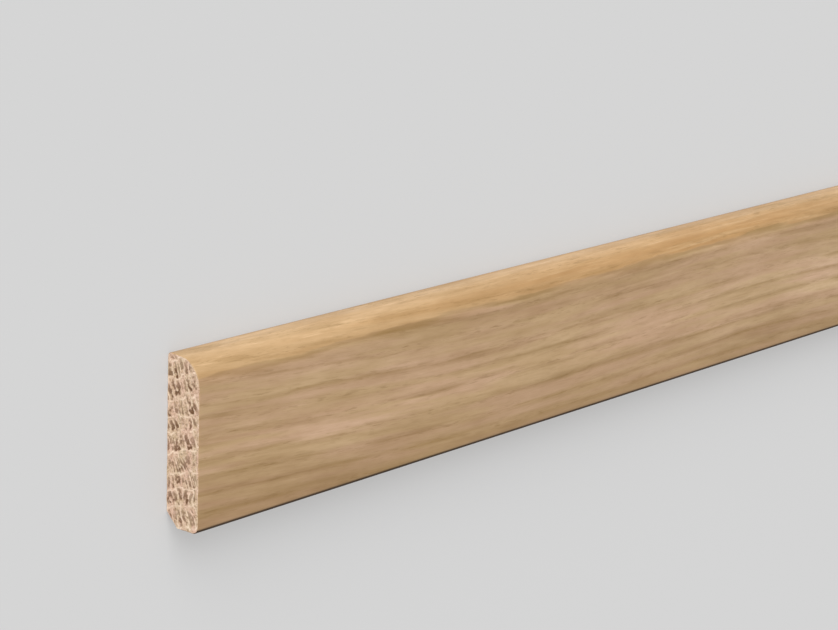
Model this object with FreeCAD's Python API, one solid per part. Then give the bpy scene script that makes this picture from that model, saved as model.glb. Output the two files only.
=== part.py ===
"""A length of solid oak skirting board, lying on its wall side with the room side up.

It is one moulded piece: a single section, planed and moulded from one board, runs the whole
length, and both ends are cut square. The length runs along X. The foot, which stands on the
floor when the board is fitted, faces -Y, and the rounded top faces +Y. The wall side is the
plane z = 0 and the room side faces +Z. The origin is the middle of the wall side. Sizes are in
millimetres.
"""

import math
import os

import FreeCAD
import Part

# The piece as it is sold
board_length = 2400.0
board_height = 60.0
board_thickness = 15.0

# The moulded section, corner by corner
top_round_radius = 10.0  # the large round between the room side and the top
top_arris_radius = 1.5  # the top's edge against the wall
heel_cut_height = 5.0  # the cut along the wall side of the foot, up the wall
heel_cut_depth = 5.0  # the same cut, across the foot
heel_arris_radius = 0.8  # both edges of that cut
toe_round_radius = 2.5  # the foot's edge on the room side


def corner_arc(before, corner, after, radius):
    """Where a round of this radius starts and ends at a corner, with a point in the middle of it."""
    towards_before = (before - corner).normalize()
    towards_after = (after - corner).normalize()
    half_angle = towards_before.getAngle(towards_after) / 2
    run = radius / math.tan(half_angle)
    start = corner + towards_before * run
    end = corner + towards_after * run
    bisector = (towards_before + towards_after).normalize()
    middle = corner + bisector * (radius / math.sin(half_angle) - radius)
    return start, middle, end


def rounded_outline(corners):
    """A closed wire through the corners, each given as its point and the radius of its round."""
    arcs = []
    for index, (corner, radius) in enumerate(corners):
        before = corners[index - 1][0]
        after = corners[(index + 1) % len(corners)][0]
        arcs.append(corner_arc(before, corner, after, radius))

    edges = []
    for index, (start, middle, end) in enumerate(arcs):
        edges.append(Part.Arc(start, middle, end).toShape())
        next_start = arcs[(index + 1) % len(arcs)][0]
        edges.append(Part.LineSegment(end, next_start).toShape())
    return Part.Wire(edges)


def section_outline(at_x):
    """The board's section, seen along its length."""
    foot = -board_height / 2
    top = board_height / 2
    wall_side = 0.0
    room_side = board_thickness

    def point(y, z):
        return FreeCAD.Vector(at_x, y, z)

    return rounded_outline(
        [
            (point(foot, room_side), toe_round_radius),
            (point(foot, wall_side + heel_cut_depth), heel_arris_radius),
            (point(foot + heel_cut_height, wall_side), heel_arris_radius),
            (point(top, wall_side), top_arris_radius),
            (point(top, room_side), top_round_radius),
        ]
    )


def skirting_board():
    """The section run along the whole length, between two square cuts."""
    near_end = -board_length / 2
    section = Part.Face(section_outline(near_end))
    return section.extrude(FreeCAD.Vector(board_length, 0, 0))


def main():
    os.makedirs("parts", exist_ok=True)
    board = skirting_board()
    print("skirting_board: valid", board.isValid(), "volume in mm3", round(board.Volume))
    board.exportStep("parts/skirting_board.step")


main()
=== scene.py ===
import math

import bmesh
import bpy
import numpy as np
from mathutils import Matrix, Vector


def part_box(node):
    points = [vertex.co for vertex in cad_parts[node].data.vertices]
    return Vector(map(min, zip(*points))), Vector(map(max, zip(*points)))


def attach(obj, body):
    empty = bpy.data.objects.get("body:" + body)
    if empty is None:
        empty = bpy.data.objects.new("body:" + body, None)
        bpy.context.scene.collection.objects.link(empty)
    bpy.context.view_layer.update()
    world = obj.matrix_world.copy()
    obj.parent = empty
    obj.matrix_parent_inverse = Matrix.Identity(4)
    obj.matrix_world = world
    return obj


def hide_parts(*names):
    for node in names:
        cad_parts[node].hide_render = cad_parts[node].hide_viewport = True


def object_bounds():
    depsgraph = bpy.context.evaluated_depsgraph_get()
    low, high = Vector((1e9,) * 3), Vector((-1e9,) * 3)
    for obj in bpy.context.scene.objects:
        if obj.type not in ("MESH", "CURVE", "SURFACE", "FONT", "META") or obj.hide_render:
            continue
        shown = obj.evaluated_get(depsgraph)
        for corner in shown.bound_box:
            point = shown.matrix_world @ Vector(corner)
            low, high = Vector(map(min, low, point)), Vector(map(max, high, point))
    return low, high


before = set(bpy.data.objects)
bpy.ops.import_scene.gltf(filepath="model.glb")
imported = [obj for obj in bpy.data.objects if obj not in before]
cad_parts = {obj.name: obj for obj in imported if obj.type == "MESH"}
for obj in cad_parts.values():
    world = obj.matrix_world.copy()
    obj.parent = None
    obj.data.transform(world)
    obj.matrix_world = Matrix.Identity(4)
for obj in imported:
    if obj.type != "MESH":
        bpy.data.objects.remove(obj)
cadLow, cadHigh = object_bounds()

mm = 0.001
boardLow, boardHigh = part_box("skirting_board")
print("frame loaded")

# The board lies on its wall side: foot towards -Y, rounded top towards +Y, room side up.
# Its near end, the one in the picture, is at -X.

board = {
    "topRound": 10.0 * mm,           # between room side and top
    "topArris": 1.5 * mm,            # top edge against the wall
    "heelCut": 5.0 * mm,             # 45 degree cut along the wall side of the foot
    "heelArris": 0.8 * mm,           # both edges of that cut
    "toeRound": 2.5 * mm,            # foot edge on the room side
    "arcStep": math.radians(7.5),    # mesh spacing round the edges,
    "flatStep": 5.0 * mm,            # across the long faces,
    "sliceStep": 60.0 * mm,          # along them,
    "collar": 10.0 * mm,             # from each sawn end to the first slice,
    "endGrid": 0.25 * mm,            # and on the sawn ends
    "sawnEdge": (0.06 * mm, 0.24 * mm),   # the broken edge round each sawn end, least and most
    "sawnEdgeWave": 2.5 * mm,        # how soon its width changes
    "sawnEdgeSeeds": (31, 32),       # near end, far end
    "sawnInset": 2.3,                # the mesh inside it is smaller by this many of its widest widths
    "poreDepth": 0.12 * mm,          # how far the open end grain lies back
    "closedRim": (1.9 * mm, 1.5),    # where it closes beside the room side and top: width, steepness
    "sharpFrom": math.radians(35),   # edges from this angle up are shaded sharp
}

# How the tree's rings run through the board, in mm. The oiled finish and the relief of the ends
# both use it.

grain = {
    "ringPitch": 6.4,                # from one year to the next, measured up the board
    "ringStart": 23.9,               # moves all the rings up the board
    "ringSwing": (0.144, 23.0),      # wide and narrow years: how uneven, and over how many mm
    "ringLean": 0.325,               # how much they drop from the room side to the wall side
    "drift": ((7.0, 1300.0, 0.725), (3.0, 420.0, 0.449)),   # wandering along the board: mm, mm, phase
    "rayPitch": 2.4,                 # from one ray to the next on the sawn ends
}


def roundedCorner(before, corner, after, radius):
    # the points of one round of the section
    toBefore = (before - corner).normalized()
    toAfter = (after - corner).normalized()
    half = toBefore.angle(toAfter) / 2
    centre = corner + (toBefore + toAfter).normalized() * (radius / math.sin(half))
    start = corner + toBefore * (radius / math.tan(half)) - centre
    end = corner + toAfter * (radius / math.tan(half)) - centre
    turn = math.pi - 2 * half
    steps = math.ceil(turn / board["arcStep"])
    points = []
    for step in range(steps + 1):
        angle = turn * step / steps
        points.append(centre + (start * math.sin(turn - angle) + end * math.sin(angle)) / math.sin(turn))
    return points


def sectionSides():
    # the room side and the wall side of the section, each as (y, z) points from foot to top
    foot, top = boardLow.y, boardHigh.y
    wall, room = boardLow.z, boardHigh.z
    cut = board["heelCut"]
    toe = Vector((foot, room))
    heelFoot = Vector((foot, wall + cut))
    heelWall = Vector((foot + cut, wall))
    wallTop = Vector((top, wall))
    roomTop = Vector((top, room))
    roomSide = roundedCorner(heelFoot, toe, roomTop, board["toeRound"])
    roomSide += roundedCorner(toe, roomTop, wallTop, board["topRound"])
    wallSide = roundedCorner(toe, heelFoot, heelWall, board["heelArris"])
    wallSide += roundedCorner(heelFoot, heelWall, wallTop, board["heelArris"])
    wallSide += roundedCorner(heelWall, wallTop, roomTop, board["topArris"])
    return roomSide, wallSide


def evenSteps(stops, spacing):
    # the stops with even steps between them, and which of them are the stops themselves
    places, isStop = [stops[0]], [True]
    for low, high in zip(stops, stops[1:]):
        count = max(1, math.ceil((high - low) / spacing))
        for step in range(1, count + 1):
            places.append(low + (high - low) * step / count)
            isStop.append(step == count)
    return places, isStop


def sectionGrid():
    # rows of (y, z) points over the whole section, and the rows that the long faces keep
    roomSide, wallSide = sectionSides()
    bends = sorted({round(p.x, 7) for p in roomSide + wallSide})
    rowStops, _ = evenSteps(bends, board["flatStep"])
    rows, keptRows = evenSteps(rowStops, board["endGrid"])
    columnCount = round((boardHigh.z - boardLow.z) / board["endGrid"])
    share = np.linspace(0, 1, columnCount + 1)
    wallZ = np.interp(rows, [p.x for p in wallSide], [p.y for p in wallSide])
    roomZ = np.interp(rows, [p.x for p in roomSide], [p.y for p in roomSide])
    grid = np.empty((len(rows), columnCount + 1, 2))
    grid[:, :, 0] = np.array(rows)[:, None]
    grid[:, :, 1] = wallZ[:, None] + (roomZ - wallZ)[:, None] * share
    return grid, keptRows


def rimOf(grid, keptRows):
    # once round the section's edge: (row, column, kept by the long faces)
    lastRow, lastColumn = grid.shape[0] - 1, grid.shape[1] - 1
    middle = lastColumn // 2
    rim = [(row, lastColumn, keptRows[row]) for row in range(lastRow + 1)]
    rim += [(lastRow, column, column == middle) for column in range(lastColumn - 1, 0, -1)]
    rim += [(row, 0, keptRows[row]) for row in range(lastRow, -1, -1)]
    rim += [(0, column, column == middle) for column in range(1, lastColumn)]
    return rim


# The finish can be baked on one flat sheet: the long faces unrolled in rows, and beside them the
# two ends, enlarged. Sizes on the sheet are in mm.

sheet = {
    "side": 540.0,
    "margin": 1.0,
    "rowLength": 480.0,
    "rowHeight": 108.0,
    "endsFrom": 484.5,
    "endStep": 212.0,
    "endScale": 3.5,
}


def wrapped(outline):
    # how far round the section each rim point lies on the sheet, the hidden sides at half scale
    lengths = np.linalg.norm(np.roll(outline, -1, 0) - outline, axis=1) / mm
    wallFrom = np.argmax(outline[:, 1] < boardLow.z + 0.01 * mm)
    lengths[wallFrom:] /= 2
    return np.concatenate([[0], np.cumsum(lengths)])


def onShell(row, x, turn):
    # a point of the long faces on the sheet, turn being how far round the section it is
    fromNearEnd = (x - boardLow.x) / mm
    return ((sheet["margin"] + fromNearEnd - row * sheet["rowLength"]) / sheet["side"],
            (sheet["margin"] + row * sheet["rowHeight"] + turn) / sheet["side"])


def onEnd(x, y, z):
    # a point of a sawn end on the sheet
    first = sheet["margin"] + (sheet["endStep"] if x > 0 else 0)
    return ((sheet["endsFrom"] + sheet["endScale"] * (z - boardLow.z) / mm) / sheet["side"],
            (first + sheet["endScale"] * (y - boardLow.y) / mm) / sheet["side"])


def softNoise(seed, across, along, size):
    # smooth random values from -1 to 1 over a plane
    side = 97                        # steps before they repeat
    table = np.random.default_rng(seed).uniform(-1, 1, (side, side))
    across, along = across / size, along / size
    column, row = np.floor(across).astype(int), np.floor(along).astype(int)
    a, b = across - column, along - row
    a, b = a * a * (3 - 2 * a), b * b * (3 - 2 * b)

    def at(right, up):
        return table[(column + right) % side, (row + up) % side]

    lower = at(0, 0) * (1 - a) + at(1, 0) * a
    upper = at(0, 1) * (1 - a) + at(1, 1) * a
    return lower * (1 - b) + upper * b


def grainDrift(x):
    # how far the grain has wandered up the board, in mm
    fromNearEnd = (x - boardLow.x) / mm
    drift = 0
    for size, length, phase in grain["drift"]:
        drift += size * math.sin(math.tau * fromNearEnd / length - phase)
    return drift


# The pattern of the sawn ends. The rays and the years divide an end into fields, and a field holds
# a tongue of open pores, whose sizes are shares of the field. The noises are (amount, size in mm).

tongues = {
    "seeds": (11, 12),               # near end, far end
    "fields": (41, 43),              # years and rays before the chances repeat
    "rayWave": (0.55, 5.5),          # how the rays and the years wave, widely and finely
    "fineRayWave": (0.18, 2.0),
    "yearWave": (0.13, 8.0),
    "fineYearWave": (0.07, 2.4),
    "yearStep": 0.1,                 # most that a year steps up or down at a ray
    "twoAbove": 0.88,                # fields of a higher chance hold two narrow tongues
    "ragged": (0.6, 0.6),            # how ragged the tongues are, finely
    "coarseRagged": (1.2, 0.95, 1.1),     # and coarsely, a little squeezed
    "halfHeight": (0.37, 0.12),      # least, and how much more by chance
    "halfWidth": (0.35, 0.12),
    "beside": 0.16,                  # how much their places in the fields vary, sideways
    "above": 0.1,                    # and up and down
    "lean": (0.7, 0.2),              # how much, and the share of them that lean the other way
    "taper": (0.45, 1.4),            # narrowest and widest by the lean
    "swell": 1.1,                    # how full a tongue is before it is made ragged
    "hollow": (0.6, 0.5),            # how deep it is: least, and how much more by chance
    "hollowTop": (0.85, 0.3),        # share of that in its middle, and how much less at its top
    "yearGap": (0.35, 0.3),          # shallower beside a year's edge: mm, and share on the edge
    "rayLine": (0.3, 0.55, 0.9),     # pale lines: width in mm, how much of them shows, how patchily
    "yearLine": (0.4, 0.7, 0.8),
    "yearPale": 0.9,
    "patch": (1.0, 1.3),             # the patches in which they show
}


def openGrain(x, y, z):
    # the sawn end's pattern, each 0 to 1: ragged tongues of open pores between the rays, and the
    # pale lines of the rays and of each year's edge
    seed = tongues["seeds"][0 if x < 0 else 1]
    y, z = y / mm, z / mm
    across = y - grain["ringLean"] * z + grainDrift(x) + grain["ringStart"]
    along = z + grain["ringLean"] * y

    def wave(step, amount, size, squeeze=1.0):
        return amount * softNoise(seed + step, along, across * squeeze, size)

    rays = along / grain["rayPitch"] + wave(10, *tongues["rayWave"]) + wave(60, *tongues["fineRayWave"])
    ray = np.floor(rays).astype(int)
    swing, swingLength = grain["ringSwing"]
    years = across / grain["ringPitch"] + swing * np.sin(math.tau * across / swingLength)
    years = years + wave(0, *tongues["yearWave"]) + wave(50, *tongues["fineYearWave"])
    yearCount, rayCount = tongues["fields"]
    steps = np.random.default_rng(seed + 80).uniform(-tongues["yearStep"], tongues["yearStep"], rayCount)
    years = years + steps[ray % rayCount]
    year = np.floor(years).astype(int)
    chance = np.random.default_rng(seed + 20).uniform(0, 1, (yearCount, rayCount, 6))
    chance = chance[year % yearCount, ray % rayCount]
    width, height, two, tilt, hollow, lift = np.moveaxis(chance, -1, 0)

    # where a point is in its field, and how many mm from the nearest ray and year's edge
    up, side = years - year - 0.5, rays - ray - 0.5
    fromRay = (0.5 - np.abs(side)) * grain["rayPitch"]
    fromYear = (0.5 - np.abs(up)) * grain["ringPitch"]

    # the tongues
    side = np.where(two > tongues["twoAbove"], (side * 2) % 1 - 0.5, side)
    most, otherWay = tongues["lean"]
    lean = most * (tilt - otherWay)
    least, more = tongues["halfHeight"]
    rise = (up + (lift - 0.5) * tongues["above"]) / (least + more * height)
    least, more = tongues["halfWidth"]
    halfWidth = (least + more * width) * np.clip(1 - lean * rise, *tongues["taper"])
    off = (side + (width - 0.5) * tongues["beside"] + up * lean) / halfWidth
    ragged = wave(30, *tongues["ragged"]) + wave(40, *tongues["coarseRagged"])
    tongue = tongues["swell"] * (1 - off ** 2 - np.abs(rise) ** 3) + ragged
    least, more = tongues["hollow"]
    middle, less = tongues["hollowTop"]
    depth = np.clip(least + more * hollow, 0, 1) * np.clip(middle - less * rise, 0.5, 1)
    gap, onEdge = tongues["yearGap"]
    pores = np.clip(tongue, 0, 1) * depth * np.clip(fromYear / gap, onEdge, 1)

    # the pale lines, flat along their middle
    patches = wave(70, *tongues["patch"])

    def paleLine(distance, width, shown, patchiness):
        return np.clip(1.2 - distance / width, 0, 1) * np.clip(shown + patchiness * patches, 0, 1)

    rayLine = paleLine(fromRay, *tongues["rayLine"]) * (0.5 + 0.5 * lift)
    yearLine = paleLine(fromYear, *tongues["yearLine"]) * tongues["yearPale"]
    return pores, np.maximum(rayLine, yearLine) * (1 - pores)


def buildBoard():
    grid, keptRows = sectionGrid()
    rim = rimOf(grid, keptRows)
    keptRim = [index for index, (_, _, kept) in enumerate(rim) if kept]
    vertices, openness, paleness, faces, finishes, flat = [], [], [], [], [], []

    def addFace(corners, places, finish=0):
        # places are the corners' places on the sheet
        faces.append(corners)
        flat.extend(places)
        finishes.append(finish)

    def addPoints(points, pores=None, pale=None):
        first = len(vertices)
        vertices.extend(points)
        openness.extend([0.0] * len(points) if pores is None else pores)
        paleness.extend([0.0] * len(points) if pale is None else pale)
        return first

    outline = np.array([grid[row, column] for row, column, _ in rim])
    turns = wrapped(outline)
    outward = np.roll(outline, -1, 0) - np.roll(outline, 1, 0)
    outward = np.stack([outward[:, 1], -outward[:, 0]], 1)
    outward = -outward / np.linalg.norm(outward, axis=1)[:, None]

    def addEnd(x, inwards):
        # the sawn face with its open grain, and the full section behind its broken edge
        least, most = board["sawnEdge"]
        count = np.arange(len(rim))
        seed = board["sawnEdgeSeeds"][0 if x < 0 else 1]
        broken = softNoise(seed, count * board["endGrid"], count * 0, board["sawnEdgeWave"])
        broken = least + (most - least) * np.clip(0.5 + 0.7 * broken, 0, 1)
        middle = np.array([0, (boardLow.z + boardHigh.z) / 2])
        size = np.array([boardHigh.y - boardLow.y, boardHigh.z - boardLow.z])
        sawn = middle + (grid - middle) * (1 - board["sawnInset"] * most / size)
        for (row, column, _), point, out, width in zip(rim, outline, outward, broken):
            sawn[row, column] = point - out * width
        pores, pale = openGrain(x, sawn[:, :, 0], sawn[:, :, 1])
        toRoomSide = np.minimum(sawn[:, -1:, 1] - sawn[:, :, 1], boardHigh.y - sawn[:, :, 0])
        rimWidth, steepness = board["closedRim"]
        pores *= np.clip(toRoomSide / rimWidth, 0, 1) ** steepness
        rowCount, columnCount = pores.shape
        for row, column, _ in rim:
            pores[row, column] = 0
        lie = x + inwards * board["poreDepth"] * pores
        points = np.stack([lie, sawn[:, :, 0], sawn[:, :, 1]], -1).reshape(-1, 3)
        first = addPoints(points.tolist(), pores.reshape(-1).tolist(), pale.reshape(-1).tolist())

        def at(row, column):
            return first + row * columnCount + column

        for row in range(rowCount - 1):
            for column in range(columnCount - 1):
                corners = (at(row, column), at(row, column + 1),
                           at(row + 1, column + 1), at(row + 1, column))
                addFace(corners, [onEnd(*vertices[corner]) for corner in corners], 1)
        behind = addPoints([(x + inwards * width, *point) for point, width in zip(outline, broken)])
        for index, (row, column, _) in enumerate(rim):
            after = (index + 1) % len(rim)
            corners = (at(row, column), at(*rim[after][:2]), behind + after, behind + index)
            addFace(corners, [onEnd(*vertices[corner]) for corner in corners])
        return behind

    def addSlice(x):
        return addPoints([(x, *outline[index]) for index in keptRim])

    nearX, farX = boardLow.x, boardHigh.x
    nearRim = addEnd(nearX, 1)
    farRim = addEnd(farX, -1)
    stops, _ = evenSteps([nearX, farX], board["sliceStep"])
    slices = [addSlice(x) for x in (nearX + board["collar"], *stops[1:-1], farX - board["collar"])]
    for near, far in zip(slices, slices[1:]):
        nearAt, farAt = vertices[near][0], vertices[far][0]
        row = int((nearAt + farAt - 2 * nearX) / 2 / mm // sheet["rowLength"])
        for index, start in enumerate(keptRim):
            after = (index + 1) % len(keptRim)
            end = keptRim[after] or len(rim)
            places = [onShell(row, x, turns[turn]) for x, turn in
                      ((nearAt, start), (nearAt, end), (farAt, end), (farAt, start))]
            addFace((near + index, near + after, far + after, far + index), places)

    # the collars, from each sawn end's close points to the first slice's wide ones
    lastRow = round((farX - nearX) / mm / sheet["rowLength"]) - 1
    for edge, ring, row in ((nearRim, slices[0], 0), (farRim, slices[-1], lastRow)):
        for index, start in enumerate(keptRim):
            after = (index + 1) % len(keptRim)
            end = keptRim[after] or len(rim)
            along = [edge + place % len(rim) for place in range(start, end + 1)]
            corners = (ring + after, ring + index, *along)
            turnOf = [turns[place] for place in (end, start, *range(start, end + 1))]
            places = [onShell(row, vertices[corner][0], turn) for corner, turn in zip(corners, turnOf)]
            addFace(corners, places)

    mesh = bpy.data.meshes.new("oakSkirtingBoard")
    mesh.from_pydata(vertices, [], faces)
    mesh.attributes.new("openGrain", "FLOAT", "POINT").data.foreach_set("value", openness)
    mesh.attributes.new("paleGrain", "FLOAT", "POINT").data.foreach_set("value", paleness)
    mesh.polygons.foreach_set("material_index", finishes)
    mesh.uv_layers.new(name="OFBake").uv.foreach_set("vector", np.array(flat).reshape(-1))
    made = bmesh.new()
    made.from_mesh(mesh)
    bmesh.ops.recalc_face_normals(made, faces=made.faces)
    made.to_mesh(mesh)
    made.free()
    mesh.shade_smooth()
    mesh.set_sharp_from_angle(angle=board["sharpFrom"])
    piece = bpy.data.objects.new("oakSkirtingBoard", mesh)
    piece.modifiers.new("evenShading", "WEIGHTED_NORMAL").keep_sharp = True
    bpy.context.scene.collection.objects.link(piece)
    print("board mesh:", len(vertices), "points,", sum(len(f) - 2 for f in faces), "triangles")
    return piece


oakBoard = buildBoard()


# Node helpers for the finishes

def addNode(tree, kind, inputs=None, **settings):
    # a node whose inputs are numbers, colours or other nodes' outputs
    made = tree.nodes.new("ShaderNode" + kind)
    for name, value in settings.items():
        setattr(made, name, value)
    for name, value in (inputs or {}).items():
        if isinstance(value, bpy.types.NodeSocket):
            tree.links.new(value, made.inputs[name])
        else:
            made.inputs[name].default_value = value
    return made


def maths(tree, operation, *values, clamp=False):
    return addNode(tree, "Math", dict(enumerate(values)), operation=operation, use_clamp=clamp).outputs[0]


def times(tree, product, *factors):
    for factor in factors:
        product = maths(tree, "MULTIPLY", product, factor)
    return product


def fade(tree, value, low, high, start=0.0, end=1.0):
    # a soft step from start to end while the value goes from low to high
    settings = {"Value": value, "From Min": low, "From Max": high, "To Min": start, "To Max": end}
    return addNode(tree, "MapRange", settings, interpolation_type="SMOOTHSTEP").outputs[0]


def noiseOf(tree, place, size, detail, roughness):
    # noise with grains of about this size in mm, along x, y and z
    scaled = addNode(tree, "VectorMath", {0: place, 1: [1 / side for side in size]}, operation="MULTIPLY")
    settings = {"Vector": scaled.outputs[0], "Scale": 1.0, "Detail": detail, "Roughness": roughness}
    return addNode(tree, "TexNoise", settings).outputs[0]


def patchesOf(tree, place, size, detail, roughness, low, high):
    # the same noise as soft patches, 0 to 1
    return fade(tree, noiseOf(tree, place, size, detail, roughness), low, high)


def around(tree, value, amount):
    # a noise value as a factor about 1
    return maths(tree, "MULTIPLY_ADD", value, 2 * amount, 1 - amount)


def mottled(tree, place, clouds):
    # clouds of several sizes as one factor about 1
    tone = 1.0
    for *size, amount in clouds:
        tone = times(tree, around(tree, noiseOf(tree, place, size, 3, 0.55), amount), tone)
    return tone


def mixed(tree, share, first, second):
    # inputs 6 and 7 and output 2 are the node's colours
    return addNode(tree, "Mix", {0: share, 6: first, 7: second}, data_type="RGBA").outputs[2]


def toned(tree, colour, factor):
    # lighter or darker by a factor about 1: blue moves most and red least, so wood doesn't grey
    shares = (0.8, 1.0, 1.45)
    perColour = {0: factor, 1: shares, 2: [1 - share for share in shares]}
    factors = addNode(tree, "VectorMath", perColour, operation="MULTIPLY_ADD").outputs[0]
    return addNode(tree, "VectorMath", {0: colour, 1: factors}, operation="MULTIPLY").outputs[0]


def ramped(tree, value, stops, interpolation="EASE"):
    # stops are (place from 0 to 1, height) pairs
    made = addNode(tree, "ValToRGB", {0: value})
    made.color_ramp.interpolation = interpolation
    elements = made.color_ramp.elements
    while len(elements) < len(stops):
        elements.new(0.5)
    for element, (place, height) in zip(elements, stops):
        element.position = place
        element.color = (height, height, height, 1)
    return made.outputs[0]


def alongRamp(tree, value, stops):
    # the same in mm: stops are (mm, height) pairs
    low, high = stops[0][0], stops[-1][0]
    share = maths(tree, "DIVIDE", maths(tree, "SUBTRACT", value, low), high - low, clamp=True)
    return ramped(tree, share, [((at - low) / (high - low), height) for at, height in stops], "CARDINAL")


def screen(colour):
    # a colour as seen on screen, 0 to 255, for a shader
    return [((level / 255 + 0.055) / 1.055) ** 2.4 for level in colour] + [1.0]


def boardPlace(tree):
    # where a point is in the board, in mm: the vector and its three numbers
    inMetres = addNode(tree, "TexCoord").outputs["Object"]
    place = addNode(tree, "VectorMath", {0: inMetres, "Scale": 1 / mm}, operation="SCALE").outputs[0]
    split = addNode(tree, "SeparateXYZ", {0: place})
    return place, split.outputs[0], split.outputs[1], split.outputs[2]


def followGrain(tree, x, y, z):
    # the same place with the grain's drift along the board added, and its new y
    nearEnd = boardLow.x / mm
    for size, length, phase in grain["drift"]:
        turned = maths(tree, "MULTIPLY_ADD", x, math.tau / length, -math.tau * nearEnd / length - phase)
        y = maths(tree, "MULTIPLY_ADD", maths(tree, "SINE", turned), size, y)
    return addNode(tree, "CombineXYZ", {0: x, 1: y, 2: z}).outputs[0], y


def yearsAcross(tree, y, z, wander):
    # years counted across the tree's rings
    across = maths(tree, "MULTIPLY_ADD", z, -grain["ringLean"], y)
    across = maths(tree, "ADD", maths(tree, "ADD", across, grain["ringStart"]), wander)
    swing, swingLength = grain["ringSwing"]
    uneven = maths(tree, "SINE", times(tree, across, math.tau / swingLength))
    return maths(tree, "MULTIPLY_ADD", uneven, swing, maths(tree, "DIVIDE", across, grain["ringPitch"]))


def newMaterial(name):
    material = bpy.data.materials.new(name)
    material.use_nodes = True
    return material, material.node_tree, material.node_tree.nodes["Principled BSDF"]


# The planed and oiled long faces. Places are in mm: y up the board from its middle, z from the wall
# side. Fades are (from, to), with the amounts at both ends where they aren't 0 and 1.

oiled = {
    "rosy": (194, 158, 125),
    "straw": (191, 159, 118),
    "shadeBrown": (140, 106, 60),         # painted shade: darker towards the foot and below the rounded top
    # how much of it there is up the board: y and share
    "shadeShare": ((-30, 0.68), (-26, 0.56), (-20, 0.34), (-14, 0.24), (-6, 0.02), (0, 0.06),
                   (6, 0.2), (14, 0.18), (21, 0.2), (25, 0.12), (28, 0.0), (30, 0.0)),
    "shadeWander": 9.0,              # how far that wanders up and down
    # the rings' dark lines: how dark they are across one year
    "ringLine": ((0, 0.0), (0.16, 0.12), (0.34, 0.55), (0.5, 1), (0.67, 0.5), (0.84, 0.08), (1, 0.0)),
    "ringWander": 4.5,               # how far they wander up and down
    "streak": (138, 105, 48),
    "streakAmount": 0.53,
    "topStreakAmount": 0.29,         # the same on the warm wood along the top
    "topStreakFade": (-0.6, 0.8),    # from one to the other, above that wood's edge
    "fineStreakAmount": 0.2,         # thin lines between the rings
    "pore": (132, 100, 50),          # pores, and flecks of several pores
    "poreAmount": 0.52,
    "fleckAmount": 0.36,
    "poresOffRings": 0.3,            # how much of them there is between the rings
    # the warmer wood that runs along the rounded top, from warmFrom up
    "warmFrom": 23.8,
    "warmWander": 8.0,               # how far its edge wanders up and down
    "warmFade": (-0.6, 0.6),
    "lightTop": (189, 154, 110),
    "deepTop": (174, 133, 83),
    # how deep its colour is along the board: x and share
    "topDepth": ((-1200, 0.1), (-1150, 0.2), (-1090, 0.32), (-1020, 0.6), (-930, 0.8), (-880, 1.0),
                 (-830, 0.75), (-700, 0.45), (-600, 0.5)),
    "topDepthChange": 1.6,           # and how much it varies beside that
    "paleBack": (26.5, 30.0, 0.0, 0.25),       # how much paler towards the wall
    "highlightColour": (209, 174, 131),     # painted highlights: light streaks in it
    "highlightRise": (0.2, 2.4, 0.3, 0.75),        # more of them above its edge,
    "highlightBack": (27.4, 29.6, 0.0, 0.35),      # more towards the wall
    "highlightInDeep": (0.0, 1.0, 1.0, 0.6),       # and fewer where the colour is deep
    # the dark line just below it, by the distance above its edge
    "underTopRise": (-2.6, -0.8),
    "underTopFall": (0.5, -0.3),
    "underTopAmount": 0.58,
    # painted shade: dark lines along the foot's edge and the top's back edge: colour, fades along y
    # and z, and amount
    "footShade": ((40, 25, 14), (-28.0, -28.7), (12.2, 13.4), 0.88),
    "topBackShade": ((150, 112, 74), (29.0, 29.9), (3.0, 0.6), 0.7),
    # lightness up and down: single fibres, and wider and wider clouds
    "fibre": 0.085,
    "mottle": ((10, 2.2, 2.2, 0.13), (30, 4, 4, 0.19), (110, 14, 14, 0.35)),
    "roughness": (0.3, 0.7, 0.36, 0.5),        # a fade over the values of the sheen's noise
    "poreRoughness": 0.2,
    "bump": 0.008 * mm,
    "poreDip": 1.2,                  # against the height of the fibres
    "streakDip": 0.5,
    # noises: sizes in mm along, up and through the board, detail, roughness
    "noise": {
        "wander": ((70, 9, 9), 3, 0.5),
        "fibre": ((20, 0.5, 0.5), 4, 0.6),
        "topDepth": ((90, 3.5, 3.5), 3, 0.5),
        "warmEdge": ((60, 7, 7), 4, 0.6),
        "sheen": ((40, 3, 3), 2, 0.5),
    },
    # the same as soft patches, with the noise's values at which they begin and are full
    "patches": {
        "ringPieces": ((42, 2.8, 2.8), 3, 0.5, 0.38, 0.62),
        "fineStreaks": ((50, 2.0, 2.0), 4, 0.55, 0.48, 0.72),
        "pores": ((5, 0.22, 0.22), 1, 0.5, 0.6, 0.74),
        "flecks": ((8, 0.9, 0.9), 2, 0.5, 0.57, 0.68),
        "straw": ((70, 5, 5), 3, 0.5, 0.38, 0.62),
        "paintedHighlight": ((50, 1.5, 1.5), 4, 0.6, 0.52, 0.72),
        "underTop": ((50, 8, 8), 2, 0.5, 0.36, 0.56),
    },
}


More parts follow.
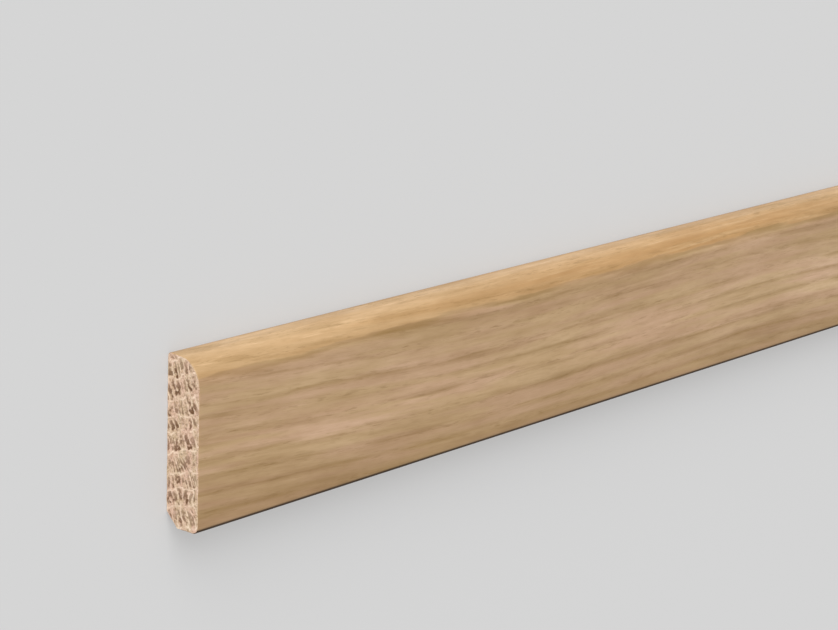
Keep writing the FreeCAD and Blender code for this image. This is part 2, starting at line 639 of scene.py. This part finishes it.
def oiledOak():
    material, tree, shader = newMaterial("oiledOak")
    _, x, y, z = boardPlace(tree)
    place, grainY = followGrain(tree, x, y, z)

    def noise(name):
        return noiseOf(tree, place, *oiled["noise"][name])

    def patches(name):
        return patchesOf(tree, place, *oiled["patches"][name])

    # the rings' dark lines, broken up along the board, and what lies between and along them
    wander = maths(tree, "SUBTRACT", noise("wander"), 0.5)
    years = yearsAcross(tree, grainY, z, times(tree, wander, oiled["ringWander"]))
    ringLine = ramped(tree, maths(tree, "FRACT", years), oiled["ringLine"])
    streak = times(tree, ringLine, patches("ringPieces"))
    fineStreak = patches("fineStreaks")
    fibre = noise("fibre")
    offRings = oiled["poresOffRings"]
    onRings = maths(tree, "MULTIPLY_ADD", ringLine, 1 - offRings, offRings)
    pore = times(tree, patches("pores"), onRings)
    fleck = times(tree, patches("flecks"), onRings)

    # ground colour, with painted shade by height: darker towards the foot and below the rounded top
    colour = mixed(tree, patches("straw"), screen(oiled["rosy"]), screen(oiled["straw"]))
    # painted shade: mixed in by height up the board, wandering a little
    shadePlace = maths(tree, "MULTIPLY_ADD", wander, oiled["shadeWander"], y)
    colour = mixed(tree, alongRamp(tree, shadePlace, oiled["shadeShare"]), colour, screen(oiled["shadeBrown"]))

    # the warm wood along the rounded top, with painted highlight streaks
    change = oiled["topDepthChange"]
    depth = maths(tree, "SUBTRACT", alongRamp(tree, x, oiled["topDepth"]), change / 2)
    depth = maths(tree, "MULTIPLY_ADD", noise("topDepth"), change, depth)
    depth = maths(tree, "SUBTRACT", depth, fade(tree, y, *oiled["paleBack"]), clamp=True)
    top = mixed(tree, depth, screen(oiled["lightTop"]), screen(oiled["deepTop"]))
    sway = oiled["warmWander"]
    edgeMoves = maths(tree, "MULTIPLY_ADD", noise("warmEdge"), sway, -sway / 2)
    aboveEdge = maths(tree, "SUBTRACT", maths(tree, "ADD", y, edgeMoves), oiled["warmFrom"])
    # painted highlight: light streaks on the rounded top, more above its edge and towards the wall
    paintedHighlight = times(tree, patches("paintedHighlight"), fade(tree, aboveEdge, *oiled["highlightRise"]))
    paintedHighlight = maths(tree, "ADD", paintedHighlight, fade(tree, y, *oiled["highlightBack"]), clamp=True)
    paintedHighlight = times(tree, paintedHighlight, fade(tree, depth, *oiled["highlightInDeep"]))
    top = mixed(tree, paintedHighlight, top, screen(oiled["highlightColour"]))
    colour = mixed(tree, fade(tree, aboveEdge, *oiled["warmFade"]), colour, top)

    # dark marks over both
    rise = fade(tree, aboveEdge, *oiled["underTopRise"])
    fall = fade(tree, aboveEdge, *oiled["underTopFall"])
    underTop = times(tree, rise, fall, patches("underTop"))
    amounts = oiled["streakAmount"], oiled["topStreakAmount"]
    streakAmount = fade(tree, aboveEdge, *oiled["topStreakFade"], *amounts)
    marks = (
        (underTop, oiled["underTopAmount"], "streak"),
        (streak, streakAmount, "streak"),
        (fineStreak, oiled["fineStreakAmount"], "streak"),
        (fleck, oiled["fleckAmount"], "pore"),
        (pore, oiled["poreAmount"], "pore"),
    )
    for mark, amount, tint in marks:
        colour = mixed(tree, times(tree, mark, amount), colour, screen(oiled[tint]))

    # lightness: fibre by fibre and in clouds, then the painted shade on the foot's edge and the top's
    # back edge
    tone = times(tree, around(tree, fibre, oiled["fibre"]), mottled(tree, place, oiled["mottle"]))
    colour = toned(tree, colour, tone)
    paintedShades = []
    # painted shade: a dark line on the foot's edge and on the top's back edge
    for tint, yFade, zFade, amount in (oiled["footShade"], oiled["topBackShade"]):
        edge = times(tree, fade(tree, y, *yFade), fade(tree, z, *zFade), amount)
        colour = mixed(tree, edge, colour, screen(tint))
        paintedShades.append(edge)
    tree.links.new(colour, shader.inputs["Base Color"])

    # sheen, dull in the pores and on the foot's edge, and the planed surface's fine relief
    rough = fade(tree, noise("sheen"), *oiled["roughness"])
    rough = maths(tree, "MULTIPLY_ADD", pore, oiled["poreRoughness"], rough)
    rough = maths(tree, "ADD", rough, paintedShades[0], clamp=True)
    tree.links.new(rough, shader.inputs["Roughness"])
    height = maths(tree, "MULTIPLY_ADD", pore, -oiled["poreDip"], fibre)
    height = maths(tree, "MULTIPLY_ADD", streak, -oiled["streakDip"], height)
    bump = addNode(tree, "Bump", {"Height": height, "Distance": oiled["bump"], "Strength": 1.0})
    tree.links.new(bump.outputs[0], shader.inputs["Normal"])
    return material


# The two sawn ends, which show the end grain. The noises are as those of the oiled faces.

sawn = {
    "rosy": (220, 184, 159),
    "straw": (216, 189, 157),
    "pale": (254, 230, 205),         # rays and the edge of each year
    "paleAmount": 0.9,
    "open": (110, 74, 42),           # the pores' tongues
    "openChange": 0.35,              # how unevenly dark they are
    "dot": (142, 102, 70),           # single pores between them
    "dotAmount": 0.5,
    "mottle": ((20, 2.2, 1.4, 0.12), (20, 1.0, 0.6, 0.5)),   # lightness in clouds: mm and how much
    "raggedNoise": ((0.5, 0.45, 0.45), 2, 0.5),
    "strawPatches": ((20, 7, 4), 2, 0.5, 0.36, 0.64),
    "dotPatches": ((2, 0.5, 0.5), 1, 0.5, 0.52, 0.68),
    "roughness": 0.75,
    "bump": 0.05 * mm,
}


def sawnOakEnd():
    material, tree, shader = newMaterial("sawnOakEnd")
    place = boardPlace(tree)[0]
    pores = addNode(tree, "Attribute", attribute_name="openGrain").outputs["Fac"]
    pale = addNode(tree, "Attribute", attribute_name="paleGrain").outputs["Fac"]
    ragged = noiseOf(tree, place, *sawn["raggedNoise"])
    pores = maths(tree, "MULTIPLY", pores, around(tree, ragged, sawn["openChange"]), clamp=True)
    zone = patchesOf(tree, place, *sawn["strawPatches"])
    colour = mixed(tree, zone, screen(sawn["rosy"]), screen(sawn["straw"]))
    colour = toned(tree, colour, mottled(tree, place, sawn["mottle"]))
    dots = patchesOf(tree, place, *sawn["dotPatches"])
    colour = mixed(tree, times(tree, dots, sawn["dotAmount"]), colour, screen(sawn["dot"]))
    colour = mixed(tree, pores, colour, screen(sawn["open"]))
    colour = mixed(tree, times(tree, pale, sawn["paleAmount"]), colour, screen(sawn["pale"]))
    tree.links.new(colour, shader.inputs["Base Color"])
    shader.inputs["Roughness"].default_value = sawn["roughness"]
    height = maths(tree, "SUBTRACT", ragged, dots)
    bump = addNode(tree, "Bump", {"Height": height, "Distance": sawn["bump"], "Strength": 1.0})
    tree.links.new(bump.outputs[0], shader.inputs["Normal"])
    return material


oakBoard.data.materials.append(oiledOak())
oakBoard.data.materials.append(sawnOakEnd())
print("finishes made")

# Floor: plain pale paper that keeps the board's shadow

floor = {
    "reach": 25.0,                   # metres from the middle to each side
    "tone": 213,                     # grey on screen
    "glow": 0.5,                     # share of its tone that doesn't depend on the lamps
    "roughness": 0.9,
    "gloss": 0.1,
}


def palePaper():
    material, tree, shader = newMaterial("palePaper")
    colour = screen([floor["tone"]] * 3)
    shader.inputs["Base Color"].default_value = colour
    shader.inputs["Roughness"].default_value = floor["roughness"]
    shader.inputs["Specular IOR Level"].default_value = floor["gloss"]
    glow = addNode(tree, "Emission", {"Color": colour, "Strength": 1.0})
    rays = addNode(tree, "LightPath")
    seen = maths(tree, "MAXIMUM", rays.outputs["Is Camera Ray"], rays.outputs["Is Glossy Ray"])
    seen = maths(tree, "MAXIMUM", seen, rays.outputs["Is Transmission Ray"])
    share = times(tree, seen, floor["glow"])
    both = addNode(tree, "MixShader", {0: share, 1: shader.outputs[0], 2: glow.outputs[0]})
    tree.links.new(both.outputs[0], tree.nodes["Material Output"].inputs["Surface"])
    return material


def buildFloor():
    bpy.ops.mesh.primitive_plane_add(size=2 * floor["reach"], location=(0, 0, cadLow.z))
    plane = bpy.context.object
    plane.name = "paleFloor"
    plane.data.materials.append(palePaper())


buildFloor()

# Light: a soft key from beyond the rounded top and the near end, and an even studio round it

light = {
    "studio": 0.62,
    "keyFrom": (-0.436, 0.757, 0.487),    # towards the key, from the board
    "keyStrength": 2.45,
    "keySpread": 50,                 # degrees: the wider, the softer the shadows
}


def lightStudio():
    world = bpy.data.worlds.new("studio")
    bpy.context.scene.world = world
    world.use_nodes = True
    sky = world.node_tree.nodes["Background"]
    sky.inputs["Color"].default_value = (1, 1, 1, 1)
    sky.inputs["Strength"].default_value = light["studio"]
    lamp = bpy.data.lights.new("keyLight", "SUN")
    lamp.energy = light["keyStrength"]
    lamp.angle = math.radians(light["keySpread"])
    key = bpy.data.objects.new("keyLight", lamp)
    key.rotation_mode = "QUATERNION"
    key.rotation_quaternion = Vector(light["keyFrom"]).to_track_quat("Z", "Y")
    bpy.context.scene.collection.objects.link(key)


lightStudio()

# Camera: the picture shows the board on its foot, so the view is given for that stance and then
# laid down with the board, a quarter turn about its length.

view = {
    "lens": 113.84,
    "sensor": 36,
    "clip": (0.01, 100),
    "place": Vector((-1786.4, -596.5, 294.1)) * mm,   # from the middle of the standing board's foot
    "heading": math.radians(49.74),                   # from square on to the room side, towards +X
    "down": math.radians(14.63),
    "roll": math.radians(1.99),
}


def placeCamera():
    camera = bpy.data.objects.new("camera", bpy.data.cameras.new("camera"))
    camera.data.lens = view["lens"]
    camera.data.sensor_width = view["sensor"]
    camera.data.clip_start, camera.data.clip_end = view["clip"]
    turn = Matrix.Rotation(-view["heading"], 4, "Z") @ Matrix.Rotation(math.pi / 2 - view["down"], 4, "X")
    standing = Matrix.Translation(view["place"]) @ turn @ Matrix.Rotation(view["roll"], 4, "Z")
    height = boardHigh.y - boardLow.y
    thickness = boardHigh.z - boardLow.z
    layDown = Matrix.Rotation(-math.pi / 2, 4, "X")
    settle = Matrix.Translation((0, -height / 2, thickness / 2))
    camera.matrix_world = settle @ layDown @ standing
    bpy.context.scene.collection.objects.link(camera)
    bpy.context.scene.camera = camera


placeCamera()
bpy.context.scene.view_settings.view_transform = "Standard"
print("floor, light and camera set")

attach(oakBoard, "root")
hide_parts("skirting_board")

print("scene ready")
